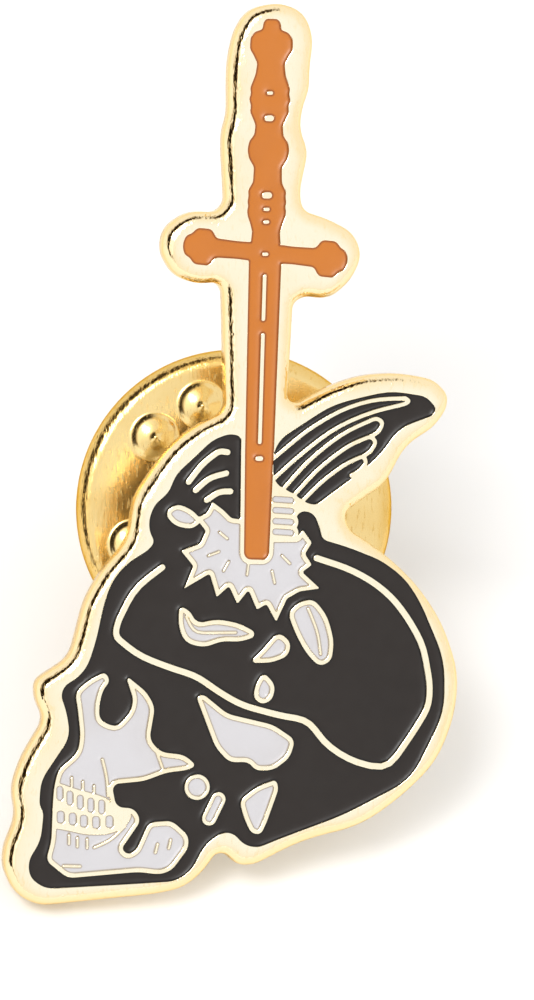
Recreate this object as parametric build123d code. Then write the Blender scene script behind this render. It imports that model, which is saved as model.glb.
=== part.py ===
from build123d import *
import math
import os

os.makedirs("parts", exist_ok=True)

# A soft-enamel lapel pin: a struck, gold-plated plate with colour-filled cells, a welded post
# and a butterfly clutch. Worn upright: the face looks along -Y, +Z runs up the sword, and the
# origin is the root of the post on the plate's back face. All lengths are millimetres.

# struck plate
PLATE_T = 1.6
EDGE_ROUND = 0.38
PLATE_BLEND = 1.0
CELL_DEPTH = 0.35
ENAMEL_DROP = 0.07
LINE_W = 0.19
ISLAND_W = 0.18
ROUND = 0.25
SOFT = 0.7
STRAIGHT = 0.03

# welded post
POST_R = 0.55
POST_LEN = 8.0
POINT_LEN = 0.9
POINT_R = 0.12
NOTCH_R = 0.45
NOTCH_W = 0.6
NOTCHES = (3.3, 4.8, 6.3)
HEAD_R = 1.25
HEAD_T = 0.3
SEAT_R = 1.4
SEAT_DEPTH = 0.15

# butterfly clutch
EYELET_Y = 3.25
BORE_R = 0.6
TUBE_R = 0.85
SHEET = 0.28
GAP = 0.02
DISC_R = 5.75
ROLL_R = 0.6
DIMPLE_PITCH_R = 3.95
DIMPLE_R = 0.9
DIMPLE_H = 0.5
DIMPLE_ANGLES = (18.4, 48.4, 108.4, 138.4, 198.4, 228.4, 288.4, 318.4)
CUP_R = 1.9
CUP_TOP = 9.1
WINDOW = (2.4, 1.05)
KNUCKLE = (2.95, 4.42)
KNUCKLE_BORE = 0.31
KNUCKLE_R = 0.53
BEAD_R = 0.28
WING_ANGLE = 75.0
WING_LEN = 4.5
WING_HALF = 2.7
BEAD_HALF = 2.1
CURL = (0.62, -0.42)
EAR = [
    (-0.5, -2.05), (0.9, -2.05), (1.4, -2.7), (4.2, -2.7), (6.0, -1.5), (6.0, 1.5), (4.2, 2.7),
    (1.4, 2.7), (0.9, 2.05), (-0.5, 2.05),
]  # fmt: skip
HOOK_R = 0.34
HEAD_TURN = -90  # the wings stand above and below the post
WIRE_R = 0.2
SPRING_Y = NOTCHES[-1]
SPRING_SHIFT = 0.24
SPRING_END_Z = 2.3

ART_SHIFT = -0.2
FRONT = Plane.XZ * Pos(ART_SHIFT, 0, 0)  # sketches as seen from the front, growing toward the viewer

# ---- artwork, as seen from the front: (x, z) points ----

PLATE = [
    (0.15, 18.05), (1.2, 18.3), (2.1, 17.95), (2.45, 17.05), (2.3, 15.9), (2.3, 15.2),
    (2.05, 14.55), (1.95, 13.8), (2.25, 12.95), (2.1, 12.25), (1.95, 11.55), (2.05, 10.85),
    (3.0, 10.55), (3.9, 10.05), (4.2, 9.25), (3.8, 8.35), (3.0, 7.7), (2.1, 7.8), (1.7, 7.55),
    (1.65, 6.6), (1.5, 4.1), (1.85, 3.95), (3.0, 4.55), (4.15, 4.95), (5.5, 5.05), (6.8, 4.8),
    (7.3, 4.25), (7.25, 3.75), (6.8, 3.1), (5.75, 2.45), (5.05, 1.1), (4.25, 0.55),
    (3.55, 0.05), (3.7, -0.55), (5.05, -1.45), (6.2, -2.55), (7.1, -3.9), (7.7, -5.7),
    (7.55, -7.3), (6.9, -8.9), (5.75, -10.05), (4.15, -11.2), (2.1, -11.65), (0.3, -12.55),
    (-0.3, -12.55), (-0.95, -11.95), (-1.55, -12.8), (-2.25, -13.35), (-3.15, -13.55),
    (-7.45, -13.95), (-8.3, -13.5), (-8.7, -12.55), (-8.65, -11.85), (-8.2, -10.75),
    (-8.4, -9.8), (-8.05, -8.7), (-7.2, -7.3), (-7.55, -6.55), (-7.55, -5.9), (-6.3, -5.1),
    (-6.05, -4.2), (-5.75, -3.0), (-5.05, -1.85), (-4.2, -0.95), (-4.0, 0.6), (-3.35, 1.55),
    (-2.7, 2.45), (-1.8, 3.15), (-0.85, 3.6), (-0.7, 3.9), (-0.8, 8.05), (-1.05, 8.3),
    (-1.8, 8.25), (-2.55, 8.55), (-3.05, 9.4), (-2.9, 10.25), (-2.05, 10.85), (-1.05, 10.8),
    (-0.7, 11.15), (-0.8, 12.95), (-0.8, 13.65), (-0.6, 14.3), (-0.6, 16.15), (-0.35, 17.3),
]  # fmt: skip
GROUND = [
    (-0.2, 2.8), (-0.6, 2.9), (-1.2, 2.7), (-1.9, 2.05), (-2.55, 1.45), (-2.8, 0.8), (-3.3, 0.4),
    (-3.5, -0.1), (-3.5, -0.55), (-3.3, -0.95), (-3.55, -1.25), (-4.3, -1.7), (-4.85, -2.35),
    (-5.15, -3.2), (-5.4, -4.45), (-5.8, -5.6), (-6.75, -6.2), (-6.45, -7.05), (-6.35, -7.9),
    (-7.4, -9.45), (-7.45, -10.3), (-7.3, -10.6), (-7.4, -11.6), (-7.85, -12.3), (-7.8, -12.9),
    (-7.25, -13.3), (-4.05, -13.15), (-2.2, -13.05), (-1.5, -11.7), (-0.65, -11.2), (0.1, -12.0),
    (1.25, -11.55), (3.45, -10.75), (5.9, -9.5), (7.1, -7.1), (7.1, -5.2), (6.3, -3.3),
    (5.75, -2.35), (4.9, -1.7), (3.7, -1.2), (2.7, -0.9), (2.6, -0.45), (2.4, 0.05), (1.9, 0.15),
    (1.6, -0.55), (-0.1, -0.55),
]  # fmt: skip
WING = [
    (0.95, 2.55), (3.05, 3.9), (4.2, 4.2), (5.2, 4.4), (6.45, 4.2), (6.8, 3.8), (6.7, 3.55),
    (5.45, 3.1), (4.8, 2.15), (3.95, 1.45), (2.45, 0.35), (2.1, 0.45), (1.7, 0.75), (0.95, 1.15),
]  # fmt: skip
WING_LINES = [
    [(0.8, 1.9), (2.25, 3.1), (3.5, 3.8), (4.6, 4.12), (5.7, 4.15)],
    [(0.8, 1.15), (1.9, 2.15), (3.15, 3.1), (4.4, 3.65), (5.7, 3.95), (5.85, 4.05), (5.7, 4.15)],
    [(1.15, 0.75), (2.25, 2.0), (3.5, 2.95), (4.65, 3.45), (4.9, 3.3), (4.75, 2.95), (4.45, 2.8)],
    [(1.5, 0.5), (2.6, 1.7), (3.7, 2.5), (4.45, 2.8), (4.65, 2.6), (4.45, 2.25), (4.2, 2.1)],
    [(1.8, 0.3), (2.75, 1.25), (3.6, 1.85), (4.2, 2.1), (4.3, 1.85), (4.05, 1.55), (3.75, 1.4)],
]  # fmt: skip
CROWN_LINE = [
    (-3.05, -1.85), (-4.05, -2.6), (-4.65, -3.8), (-4.75, -4.3), (-3.9, -5.0), (-2.75, -5.45),
    (-1.8, -5.75), (-1.05, -6.3), (-0.2, -6.8), (1.25, -7.2), (2.2, -7.35), (2.85, -8.25),
    (3.8, -8.85), (5.05, -9.15), (6.0, -7.8), (6.55, -6.9), (6.6, -6.1), (6.35, -4.7),
    (5.85, -3.8), (5.3, -3.05), (4.6, -2.45), (3.7, -1.95), (2.5, -1.55),
]  # fmt: skip
SMALL_WING_LINES = [
    [(-2.1, 1.2), (-1.6, 1.85), (-1.0, 2.3), (-0.7, 2.25)],
    [(-1.85, 0.9), (-1.35, 1.35), (-0.75, 1.5)],
    [(-1.45, 0.55), (-1.0, 0.85), (-0.6, 0.85)],
]
BURST = [
    (-1.25, 0.5), (-0.85, 0.2), (-0.55, -0.1), (0.3, -0.2), (0.85, -0.8), (1.8, -0.8),
    (2.0, -0.5), (2.35, -1.0), (2.1, -1.4), (2.35, -1.8), (2.0, -2.05), (2.65, -2.65),
    (1.9, -2.75), (1.45, -3.0), (1.05, -3.85), (0.7, -3.2), (0.35, -3.4), (0.05, -2.7),
    (-0.35, -3.2), (-0.65, -2.55), (-1.1, -2.95), (-1.35, -2.1), (-2.3, -2.65), (-1.95, -1.8),
    (-2.4, -1.25), (-1.7, -1.0), (-1.5, -0.55), (-1.85, -0.1), (-1.45, 0.1),
]  # fmt: skip
BURST_TICKS = [
    [(-1.4, -1.45), (-1.0, -1.3)],
    [(-0.85, -2.0), (-0.65, -1.65)],
    [(0.0, -2.15), (0.05, -1.75)],
    [(1.0, -2.45), (0.9, -2.0)],
    [(1.55, -1.75), (1.25, -1.45)],
    [(-1.0, -0.6), (-0.7, -0.85)],
]
TUFT = [(-3.0, 0.1), (-2.55, 0.45), (-1.95, 0.2), (-1.6, -0.2), (-1.95, -0.5), (-2.6, -0.4)]
PLUMES = [
    [(1.85, -3.1), (2.4, -3.0), (2.9, -3.6), (3.15, -4.55), (3.05, -5.25), (2.6, -5.45),
     (2.15, -5.0), (1.75, -4.3), (1.45, -3.5)],
    [(-2.45, -3.2), (-2.05, -3.4), (-1.8, -3.85), (-1.15, -3.7), (-0.25, -3.85), (0.5, -4.3),
     (-0.25, -4.55), (-0.9, -4.5), (-1.55, -4.75), (-2.25, -4.55), (-2.5, -3.9)],
    [(1.1, -4.15), (1.6, -4.55), (1.5, -5.05), (0.9, -5.3), (0.0, -5.3), (0.5, -4.85)],
    [(0.6, -5.6), (1.05, -6.1), (0.9, -6.65), (0.5, -6.8), (0.2, -6.5), (0.3, -6.0)],
]  # fmt: skip
PLUME_RIBS = [
    [(2.2, -3.35), (2.55, -4.2), (2.65, -5.0)],
    [(-2.2, -3.6), (-1.9, -4.2), (-0.4, -4.2)],
]
TEMPLE = [
    (-1.85, -6.45), (-1.55, -6.4), (-0.7, -7.1), (0.95, -7.5), (1.75, -8.05), (1.55, -8.7),
    (0.95, -9.15), (0.3, -9.15), (0.05, -8.85), (-0.65, -8.85), (-1.15, -8.3),
]  # fmt: skip
MASTOID = [
    (1.05, -9.45), (0.35, -9.7), (-0.3, -10.2), (-0.1, -10.9), (0.15, -11.4), (0.5, -11.45),
    (0.7, -11.05), (1.15, -9.8),
]  # fmt: skip
FACE = [
    (-6.2, -6.3), (-5.7, -5.85), (-5.1, -5.55), (-4.9, -5.9), (-5.15, -6.2), (-5.3, -6.7),
    (-5.3, -7.3), (-4.7, -7.55), (-4.2, -7.0), (-4.1, -6.55), (-4.4, -5.65), (-3.6, -6.3),
    (-3.3, -6.85), (-3.5, -8.0), (-3.1, -8.45), (-2.25, -8.55), (-1.8, -8.95), (-2.15, -9.12),
    (-2.9, -9.2), (-3.7, -9.5), (-4.85, -9.6), (-4.7, -10.4), (-4.05, -10.45), (-3.8, -10.9),
    (-4.5, -11.9), (-4.3, -12.1), (-4.0, -11.95), (-3.55, -10.95), (-2.7, -10.9), (-2.1, -11.45),
    (-2.1, -11.9), (-2.7, -12.7), (-3.15, -12.85), (-3.9, -12.75), (-6.45, -12.95),
    (-7.25, -12.3), (-7.05, -11.6), (-7.0, -10.25), (-6.95, -9.65), (-6.8, -9.05),
    (-6.1, -8.45), (-6.0, -7.85), (-6.1, -6.85),
]  # fmt: skip
TEETH_BAND = [
    (-7.2, -9.4), (-6.7, -9.55), (-6.15, -9.75), (-5.4, -9.95), (-5.0, -10.1), (-4.8, -10.4),
    (-4.45, -10.45), (-4.1, -10.65), (-4.3, -11.05), (-4.7, -11.3), (-5.1, -11.4), (-5.8, -11.4),
    (-6.4, -11.25), (-7.2, -11.1),
]  # fmt: skip
GUM_TICKS = [
    (-6.3, -9.45), (-5.9, -9.6), (-5.5, -9.75), (-6.4, -11.5), (-6.1, -11.6), (-5.75, -11.65),
]  # fmt: skip
UPPER_TEETH = [(-6.73, -9.9), (-6.37, -10.07), (-6.0, -10.22), (-5.62, -10.33), (-5.23, -10.4)]
LOWER_TEETH = [(-6.7, -10.75), (-6.27, -10.82), (-5.87, -10.9), (-5.43, -10.95), (-4.95, -10.93)]
UPPER_TOOTH = (0.22, 0.52)
LOWER_TOOTH = (0.26, 0.44)
FACE_LINES = [
    [(-5.2, -8.7), (-5.05, -9.3), (-5.0, -10.0)],
    [(-3.3, -8.3), (-2.95, -9.3)],
    [(-5.5, -11.85), (-4.9, -11.6), (-4.4, -11.1)],
    [(-6.6, -12.5), (-6.0, -12.52)],
    [(-3.3, -12.05), (-3.22, -11.75)],
    [(-2.82, -11.9), (-2.75, -11.6)],
]

# the sword in its own frame, v up from the tip: (half width, v)
SWORD_ROOT = (0.33, -1.58)
SWORD_LEAN = -1.7
BLADE = [(0.3, 0.0), (0.43, 0.15), (0.5, 3.9), (0.57, 11.2)]
HILT = [
    (0.52, 11.2), (0.48, 11.7), (0.56, 12.0), (0.66, 12.25), (0.68, 12.45), (0.64, 12.6),
    (0.68, 12.75), (0.64, 12.95), (0.67, 13.15), (0.5, 13.45), (0.48, 14.0), (0.67, 14.3),
    (0.73, 14.6), (0.68, 14.9), (0.5, 15.15), (0.47, 15.5), (0.6, 15.8), (0.68, 15.95),
    (0.65, 16.2), (0.73, 16.4), (0.66, 16.62), (0.7, 16.8), (0.52, 17.3), (0.47, 17.7),
    (0.62, 18.0), (0.75, 18.2), (0.74, 18.6), (0.6, 18.8), (0.32, 18.9), (0.29, 19.15),
    (0.2, 19.28),
]  # fmt: skip
GUARD_V = 10.95
GUARD_TILT = -4.0
GUARD = [
    (0.0, 0.34), (1.0, 0.3), (1.8, 0.33), (2.0, 0.64), (2.5, 0.64), (2.68, 0.42), (2.86, 0.34),
    (2.95, 0.12),
]  # fmt: skip
SWORD_STUDS = [
    (12.05, 0.1), (12.5, 0.1), (13.0, 0.17), (15.75, 0.16), (16.65, 0.1), (10.9, 0.1), (3.6, 0.13),
]  # fmt: skip
FULLERS = [(8.5, 10.2), (4.1, 8.1)]
FULLER_W = 0.17
COVERT_BARS = [0.54, 0.15, -0.24, -0.62]
COVERT_BAR = (0.76, 0.22)


def outline(points, blend=ROUND):
    """Closed face through corner points; each corner is a tangent arc up to blend long a side."""
    edges = []
    before, after = points[-1:] + points, points[1:] + points[:1]
    joints = [corner(a, b, c, blend) for a, b, c in zip(before, points, after)]
    for (_, _, last), (start, middle, end) in zip(joints[-1:] + joints, joints):
        edges.append(Line(last, start))
        if middle:
            edges.append(ThreePointArc(start, middle, end))
    return make_face(edges)


def corner(before, point, after, blend):
    """Start, middle and end of the tangent arc at one corner; no middle where the line runs straight."""
    point = Vector(*point)
    back, ahead = Vector(*before) - point, Vector(*after) - point
    reach = min(blend, 0.46 * back.length, 0.46 * ahead.length)
    start, end = point + back.normalized() * reach, point + ahead.normalized() * reach
    half = math.radians(back.get_angle(ahead) / 2)
    bisector = back.normalized() + ahead.normalized()
    if bisector.length < STRAIGHT:
        return point, None, point
    radius = reach * math.tan(half)
    return start, point + bisector.normalized() * (radius / math.sin(half) - radius), end


def bend(before, point, after, blend):
    """Four points of the short curve that rounds one corner of a line."""
    back, ahead = math.dist(before, point), math.dist(point, after)
    reach = min(blend, 0.46 * back, 0.46 * ahead)
    start = [p + (q - p) * reach / back for p, q in zip(point, before)]
    end = [p + (q - p) * reach / ahead for p, q in zip(point, after)]
    shares = (0, 1 / 3, 2 / 3, 1)
    return [
        tuple((1 - t) ** 2 * s + 2 * t * (1 - t) * p + t**2 * e for s, p, e in zip(start, point, end))
        for t in shares
    ]


def softened(points, blend, closed=False):
    """Line through the points with each corner rounded; a closed one ends where it starts."""
    if closed:
        points = points[-1:] + points + points[:1]
    corners = [bend(a, b, c, blend) for a, b, c in zip(points, points[1:], points[2:])]
    middle = [p for curve in corners for p in curve]
    return middle + middle[:1] if closed else points[:1] + middle + points[-1:]


def stroke(points, width=LINE_W, blend=SOFT, closed=False):
    """Raised line of constant width with round ends and soft bends."""
    line = softened(points, blend, closed)
    faces = []
    for (ax, ay), (bx, by) in zip(line, line[1:]):
        turn = math.degrees(math.atan2(by - ay, bx - ax))
        slot = SlotCenterToCenter(math.hypot(bx - ax, by - ay), width)
        faces.append(Location(((ax + bx) / 2, (ay + by) / 2), turn) * slot)
    return Sketch() + faces


def mirrored(profile):
    """Closed outline from half widths up one side and back down the other."""
    return [(w, v) for w, v in profile] + [(-w, v) for w, v in reversed(profile)]


def grown(face, amount):
    """Outline moved outward (or inward when negative) with round corners."""
    return offset(face, amount=amount, kind=Kind.ARC)


def inside(points, blend=ROUND, margin=ISLAND_W):
    """Cell left inside an island once its raised rim is taken away."""
    return outline(points, blend) - stroke(points, 2 * margin, blend, closed=True)


def sword_place(u=0.0, v=0.0):
    """Location of a point given in the sword's own frame."""
    return Location(SWORD_ROOT, SWORD_LEAN) * Location((u, v))


def guard_face():
    """Cross guard with a lobed knob at each end, tilted against the blade."""
    top = GUARD[::-1] + [(-u, h) for u, h in GUARD[1:]]
    bottom = [(-u, -h) for u, h in GUARD[::-1]] + [(u, -h) for u, h in GUARD[1:]]
    return sword_place(0, GUARD_V) * Rot(0, 0, GUARD_TILT) * outline(top + bottom, 0.12)


def sword_face():
    """Outline of blade, guard and hilt together."""
    blade = sword_place() * outline(mirrored(BLADE))
    hilt = sword_place() * outline(mirrored(HILT), 0.09)
    return blade + guard_face() + hilt


def sword_inlays():
    """Gold studs and fuller strips that stand inside the orange fill."""
    studs = [sword_place(0, v) * SlotOverall(2 * r + 0.06, 1.5 * r) for v, r in SWORD_STUDS]
    strips = [
        sword_place(0, (low + high) / 2) * SlotOverall(high - low, FULLER_W, rotation=90)
        for low, high in FULLERS
    ]
    return Sketch() + studs + strips


def tooth_cells(centres, size):
    """Row of rounded tooth cells."""
    return Sketch() + [Pos(x, z) * RectangleRounded(*size, 0.1) for x, z in centres]


def face_cells():
    """Cells of the face: skull front, cheek sliver and jaw, split by the raised lines."""
    inner = inside(FACE)
    inner -= outline(TEETH_BAND)
    for x, z in GUM_TICKS:
        inner -= stroke([(x, z + 0.12), (x, z - 0.22)], 0.1)
    for line in FACE_LINES:
        inner -= stroke(line, 0.11)
    return inner


def covert_bars():
    """Short pale bars where the feathers meet the blade."""
    bar = Rot(0, 0, -4) * RectangleRounded(*COVERT_BAR, 0.09)
    return Sketch() + [Pos(1.3, z) * bar for z in COVERT_BARS]


def artwork():
    """All colour cells by node name."""
    sword = sword_face()
    burst = outline(BURST, 0.07)
    plumes = [outline(points, SOFT) for points in PLUMES]
    tuft = outline(TUFT, SOFT)
    temple = outline(TEMPLE)
    mastoid = outline(MASTOID)
    ear = [Pos(-1.8, -9.72) * Circle(0.47), Pos(-1.2, -10.5) * Rot(0, 0, 64) * SlotOverall(1.3, 0.55)]
    bars = covert_bars()
    blade_guard = grown(sword_place() * outline(mirrored(BLADE)), ISLAND_W)

    ground = outline(GROUND, SOFT) - blade_guard - stroke(CROWN_LINE, 0.25)
    for island in [burst, *plumes, tuft, temple, mastoid, *ear, outline(FACE)]:
        ground -= island
    ground -= grown(bars, ISLAND_W)
    for line in SMALL_WING_LINES:
        ground -= stroke(line, 0.24)

    wing = outline(WING, SOFT)
    for line in WING_LINES:
        wing -= stroke(line, 0.17)
    wing = [f for f in wing.faces() if f.area > 0.05]
    wing.sort(key=lambda f: f.area)

    burst_cell = inside(BURST, 0.07) - blade_guard - grown(bars, ISLAND_W)
    for tick in BURST_TICKS:
        burst_cell -= stroke(tick, 0.09)
    plume_cells = Sketch() + [inside(points, SOFT) for points in PLUMES]
    for rib in PLUME_RIBS:
        plume_cells -= stroke(rib, 0.1)

    face = sorted(face_cells().faces(), key=lambda f: f.center().Y)
    jaw = [f for f in face if f.center().Y < -11]
    cheek = [f for f in face if f.center().Y > -11 and f.center().X > -3]
    front = [f for f in face if f.center().Y > -11 and f.center().X <= -3]
    cells = {
        "enamel_sword": sword - sword_inlays(),
        "enamel_skull_ground": ground,
        "enamel_wing_field": wing[-1:],
        "enamel_wing_feathers": wing[:-1],
        "enamel_covert_bars": bars,
        "enamel_burst": burst_cell,
        "enamel_plumes": plume_cells,
        "enamel_tuft": inside(TUFT, SOFT),
        "enamel_temple": inside(TEMPLE),
        "enamel_ear_cells": [grown(e, -0.15) for e in ear] + [inside(MASTOID)],
        "enamel_face": front,
        "enamel_cheek": cheek,
        "enamel_jaw": jaw,
        "enamel_upper_teeth": tooth_cells(UPPER_TEETH, UPPER_TOOTH),
        "enamel_lower_teeth": tooth_cells(LOWER_TEETH, LOWER_TOOTH),
    }
    return {name: Sketch() + list_of(c) for name, c in cells.items()}


def list_of(shapes):
    """Flat list of the faces in one shape or several."""
    shapes = shapes if isinstance(shapes, list) else [shapes]
    return [face for shape in shapes for face in shape.faces() if face.area > 0.01]


def plate(cells):
    """Struck plate: rounded front edge, raised lines between the cells, a seat for the post."""
    blank = extrude(outline(PLATE, PLATE_BLEND), PLATE_T)
    front_edges = blank.edges().group_by(Axis.Z)[-1]
    blank = fillet(front_edges, EDGE_ROUND)
    for cell in cells.values():
        blank -= Pos(0, 0, PLATE_T - CELL_DEPTH) * extrude(cell, CELL_DEPTH + 0.1)
    seat = Cylinder(SEAT_R, SEAT_DEPTH, align=(Align.CENTER, Align.CENTER, Align.MIN))
    return FRONT * blank - Plane.XZ * seat


def enamel(cell):
    """Colour fill of one set of cells, its face just below the raised lines."""
    return FRONT * (Pos(0, 0, PLATE_T - CELL_DEPTH) * extrude(cell, CELL_DEPTH - ENAMEL_DROP))


def turned(points):
    """Solid of revolution about the post axis from (radius, y) points."""
    return revolve(make_face(Polyline(*points, close=True)), Axis.Y)


def post():
    """Pointed nail with a flat head and three grip notches."""
    side = [(HEAD_R, -SEAT_DEPTH), (HEAD_R, HEAD_T), (POST_R, HEAD_T)]
    for y in NOTCHES:
        side += [(POST_R, y - NOTCH_W / 2), (NOTCH_R, y), (POST_R, y + NOTCH_W / 2)]
    side += [(POST_R, POST_LEN - POINT_LEN), (POINT_R, POST_LEN - 0.06), (0, POST_LEN)]
    return turned([(0, -SEAT_DEPTH)] + side)


def weld():
    """Ring of solder round the post's head, inside the plate's seat."""
    low, high = -SEAT_DEPTH, 0.1
    return turned([(HEAD_R, low), (SEAT_R - 0.01, low), (SEAT_R - 0.01, 0.0), (HEAD_R, high)])


def eyelet():
    """Flanged tube that runs on the post and rivets the disc to the housing."""
    floor = EYELET_Y + 0.18
    top = floor + 2 * SHEET + 3 * GAP
    return turned([
        (BORE_R, EYELET_Y + 0.1), (BORE_R + 0.1, EYELET_Y), (1.25, EYELET_Y), (1.25, floor),
        (TUBE_R, floor), (TUBE_R, top), (1.15, top), (1.1, top + 0.16), (BORE_R, top + 0.16),
    ])  # fmt: skip


def dimple(angle):
    """Pressed point of the disc: a low cone with a blunt tip, hollow from behind."""
    floor = EYELET_Y + 0.18 + GAP
    turn = math.radians(angle)
    x, z = DIMPLE_PITCH_R * math.cos(turn), DIMPLE_PITCH_R * math.sin(turn)
    side = [(DIMPLE_R, 0), (0.72, -0.16), (0.4, -0.37), (0.15, -DIMPLE_H), (0, -DIMPLE_H - 0.02)]
    skin = turned([(0, 0.05), (DIMPLE_R, 0.05)] + side)
    hollow = [(r - 0.2, y + 0.26) for r, y in side if r > 0.3]
    pit = turned([(0, SHEET + 0.1), (hollow[0][0], SHEET + 0.1)] + hollow + [(0, -0.2)])
    place = Pos(x, floor, z)
    return place * skin, place * pit


def disc():
    """Clutch disc: thin sheet rolled back along its edge, with eight pressed points toward the cloth."""
    floor = EYELET_Y + 0.18 + GAP
    inner = TUBE_R + 0.03
    centre = (DISC_R - ROLL_R, floor + ROLL_R)
    section = make_face([
        Line((inner, floor), (centre[0], floor)),
        CenterArc(centre, ROLL_R, -90, 90),
        Line((DISC_R, centre[1]), (DISC_R - SHEET, centre[1])),
        CenterArc(centre, ROLL_R - SHEET, 0, -90),
        Line((centre[0], floor + SHEET), (inner, floor + SHEET)),
        Line((inner, floor + SHEET), (inner, floor)),
    ])  # fmt: skip
    sheet = revolve(section, Axis.Y)
    for angle in DIMPLE_ANGLES:
        skin, pit = dimple(angle)
        sheet = sheet + skin - pit
    return sheet


def knuckle(side):
    """Curled channel on the housing that holds one wing's bead; open toward the wing."""
    cx, cy = side * KNUCKLE[0], KNUCKLE[1]
    ring = Circle(KNUCKLE_R) - Circle(KNUCKLE_BORE)
    reach = 2 * KNUCKLE_R
    mouth = make_face(Polyline((0, 0), (reach, 0.75), (reach, reach), (-0.75, reach), close=True))
    section = ring - mouth
    if side < 0:
        section = mirror(section, Plane.YZ)
    return Pos(cx, cy, 0) * extrude(section, BEAD_HALF, both=True)


def housing():
    """Spring cup on a flat foot, with two wing channels and two windows for the wire."""
    foot = EYELET_Y + 0.18 + 2 * GAP + SHEET
    cup = turned([
        (TUBE_R + 0.03, foot), (KNUCKLE[0], foot), (KNUCKLE[0], foot + SHEET), (CUP_R, foot + SHEET),
        (CUP_R, CUP_TOP - 0.35), (CUP_R - 0.35, CUP_TOP), (0, CUP_TOP), (0, CUP_TOP - SHEET),
        (CUP_R - 0.47, CUP_TOP - SHEET), (CUP_R - SHEET, CUP_TOP - 0.47),
        (CUP_R - SHEET, foot + SHEET), (TUBE_R + 0.03, foot + SHEET),
    ])  # fmt: skip
    cup -= Pos(0, SPRING_Y, 0) * Box(*WINDOW, 3 * CUP_R)
    for side in (-1, 1):
        bore = Cylinder(KNUCKLE_BORE, 8)
        cup = cup - Pos(side * KNUCKLE[0], KNUCKLE[1], 0) * bore + knuckle(side)
    return cup


def spring_path():
    """Centre line of the wire: hook, leg beside the post, U-bend, second leg, second hook."""
    leg = NOTCH_R + WIRE_R + 0.03
    end, low, high = SPRING_END_Z, SPRING_Y - SPRING_SHIFT, SPRING_Y + SPRING_SHIFT
    return FilletPolyline(
        (-4.15, high, -end), (leg, high, -end), (leg, SPRING_Y, -0.8), (leg, SPRING_Y, end),
        (-leg, SPRING_Y, end), (-leg, SPRING_Y, -0.8), (-leg, low, -end), (4.05, low, -end),
        radius=0.3,
    )  # fmt: skip


def spring():
    """Round wire bent round the post; its crossed ends hook into the wings."""
    path = spring_path()
    section = Plane(path @ 0, z_dir=path % 0) * Circle(WIRE_R)
    return sweep(section, path)


def wing(side):
    """Flared ear with a solid bead along its foot and a hole for the wire's hook."""
    sheet = Circle(BEAD_R) + stroke([(0, 0), (WING_LEN, 0), (WING_LEN + CURL[0], CURL[1])], SHEET)
    ear = extrude(outline(EAR, 0.7), 2, both=True)
    blade = extrude(sheet, WING_HALF, both=True) & Rot(90, 0, 0) * ear
    blade = Rot(0, 0, WING_ANGLE) * blade
    if side < 0:
        blade = mirror(blade, Plane.YZ)
    blade = Pos(side * KNUCKLE[0], KNUCKLE[1], 0) * blade
    hook_y = SPRING_Y + (SPRING_SHIFT if side < 0 else -SPRING_SHIFT)
    return blade - Pos(side * 4, hook_y, -SPRING_END_Z) * Rot(0, 90, 0) * Cylinder(HOOK_R, 3)


def write(name, shape):
    """Save one sub-part."""
    export_step(shape, f"parts/{name}.step")


cells = artwork()
write("base_plate", plate(cells))
for name, cell in cells.items():
    write(name, enamel(cell))
write("post", post())
write("post_weld", weld())
write("clutch_eyelet", eyelet())
write("clutch_disc", disc())
head = Rot(0, HEAD_TURN, 0)
write("clutch_housing", head * housing())
write("clutch_spring", head * spring())
write("clutch_wing_lower", head * wing(-1))
write("clutch_wing_upper", head * wing(1))
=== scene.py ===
import logging
import math
from dataclasses import dataclass
from enum import Enum
from functools import cache

import bmesh
import bpy
import numpy as np
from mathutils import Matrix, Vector
from mathutils.geometry import delaunay_2d_cdt


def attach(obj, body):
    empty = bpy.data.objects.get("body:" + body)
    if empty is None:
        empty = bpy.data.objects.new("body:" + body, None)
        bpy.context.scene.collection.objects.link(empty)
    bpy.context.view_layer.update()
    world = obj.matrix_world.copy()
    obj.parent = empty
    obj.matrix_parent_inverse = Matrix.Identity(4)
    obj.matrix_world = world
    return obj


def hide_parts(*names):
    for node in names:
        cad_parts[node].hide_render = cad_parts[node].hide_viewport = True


# A soft-enamel lapel pin: a struck, gold-plated plate with colour fills, a welded post and a
# butterfly clutch. Lengths are millimetres in the CAD frame until a mesh is made of them.

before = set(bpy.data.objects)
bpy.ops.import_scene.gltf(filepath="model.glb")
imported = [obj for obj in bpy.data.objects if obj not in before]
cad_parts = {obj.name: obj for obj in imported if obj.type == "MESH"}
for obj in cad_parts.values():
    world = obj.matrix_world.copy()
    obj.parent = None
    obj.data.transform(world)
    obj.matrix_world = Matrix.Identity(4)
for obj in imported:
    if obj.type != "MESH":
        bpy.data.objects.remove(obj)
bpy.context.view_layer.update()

LOG = logging.getLogger("enamel_pin")
MM = 0.001
Array = np.ndarray
Colour = tuple[float, float, float]


class Body(Enum):
    """CAD bodies that the pieces ride on."""

    PIN = "pin"
    COLLAR = "collar"
    CLUTCH = "clutch"
    UPPER_WING = "upper_wing"
    LOWER_WING = "lower_wing"


class Level(Enum):
    """Heights in y of the plate's main faces; the front looks along -y."""

    FRONT = -1.6
    FILL = -1.53
    FLOOR = -1.25
    BACK = 0.0


# ---- mesh helpers ----


def welded(points: Array, faces: Array, digits: int = 4) -> tuple[Array, Array]:
    """Merges points that share a place and drops triangles that lose a corner by it.

    Args:
        points: (n, 3) positions in mm.
        faces: (m, 3) point numbers.
        digits: decimals of a millimetre that tell two places apart.

    Returns:
        The merged points and faces.
    """
    places, number = np.unique(np.round(points, digits), axis=0, return_inverse=True)
    faces = number.ravel()[faces]
    whole = (faces[:, 0] != faces[:, 1]) & (faces[:, 1] != faces[:, 2]) & (faces[:, 2] != faces[:, 0])
    return places, faces[whole]


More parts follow.
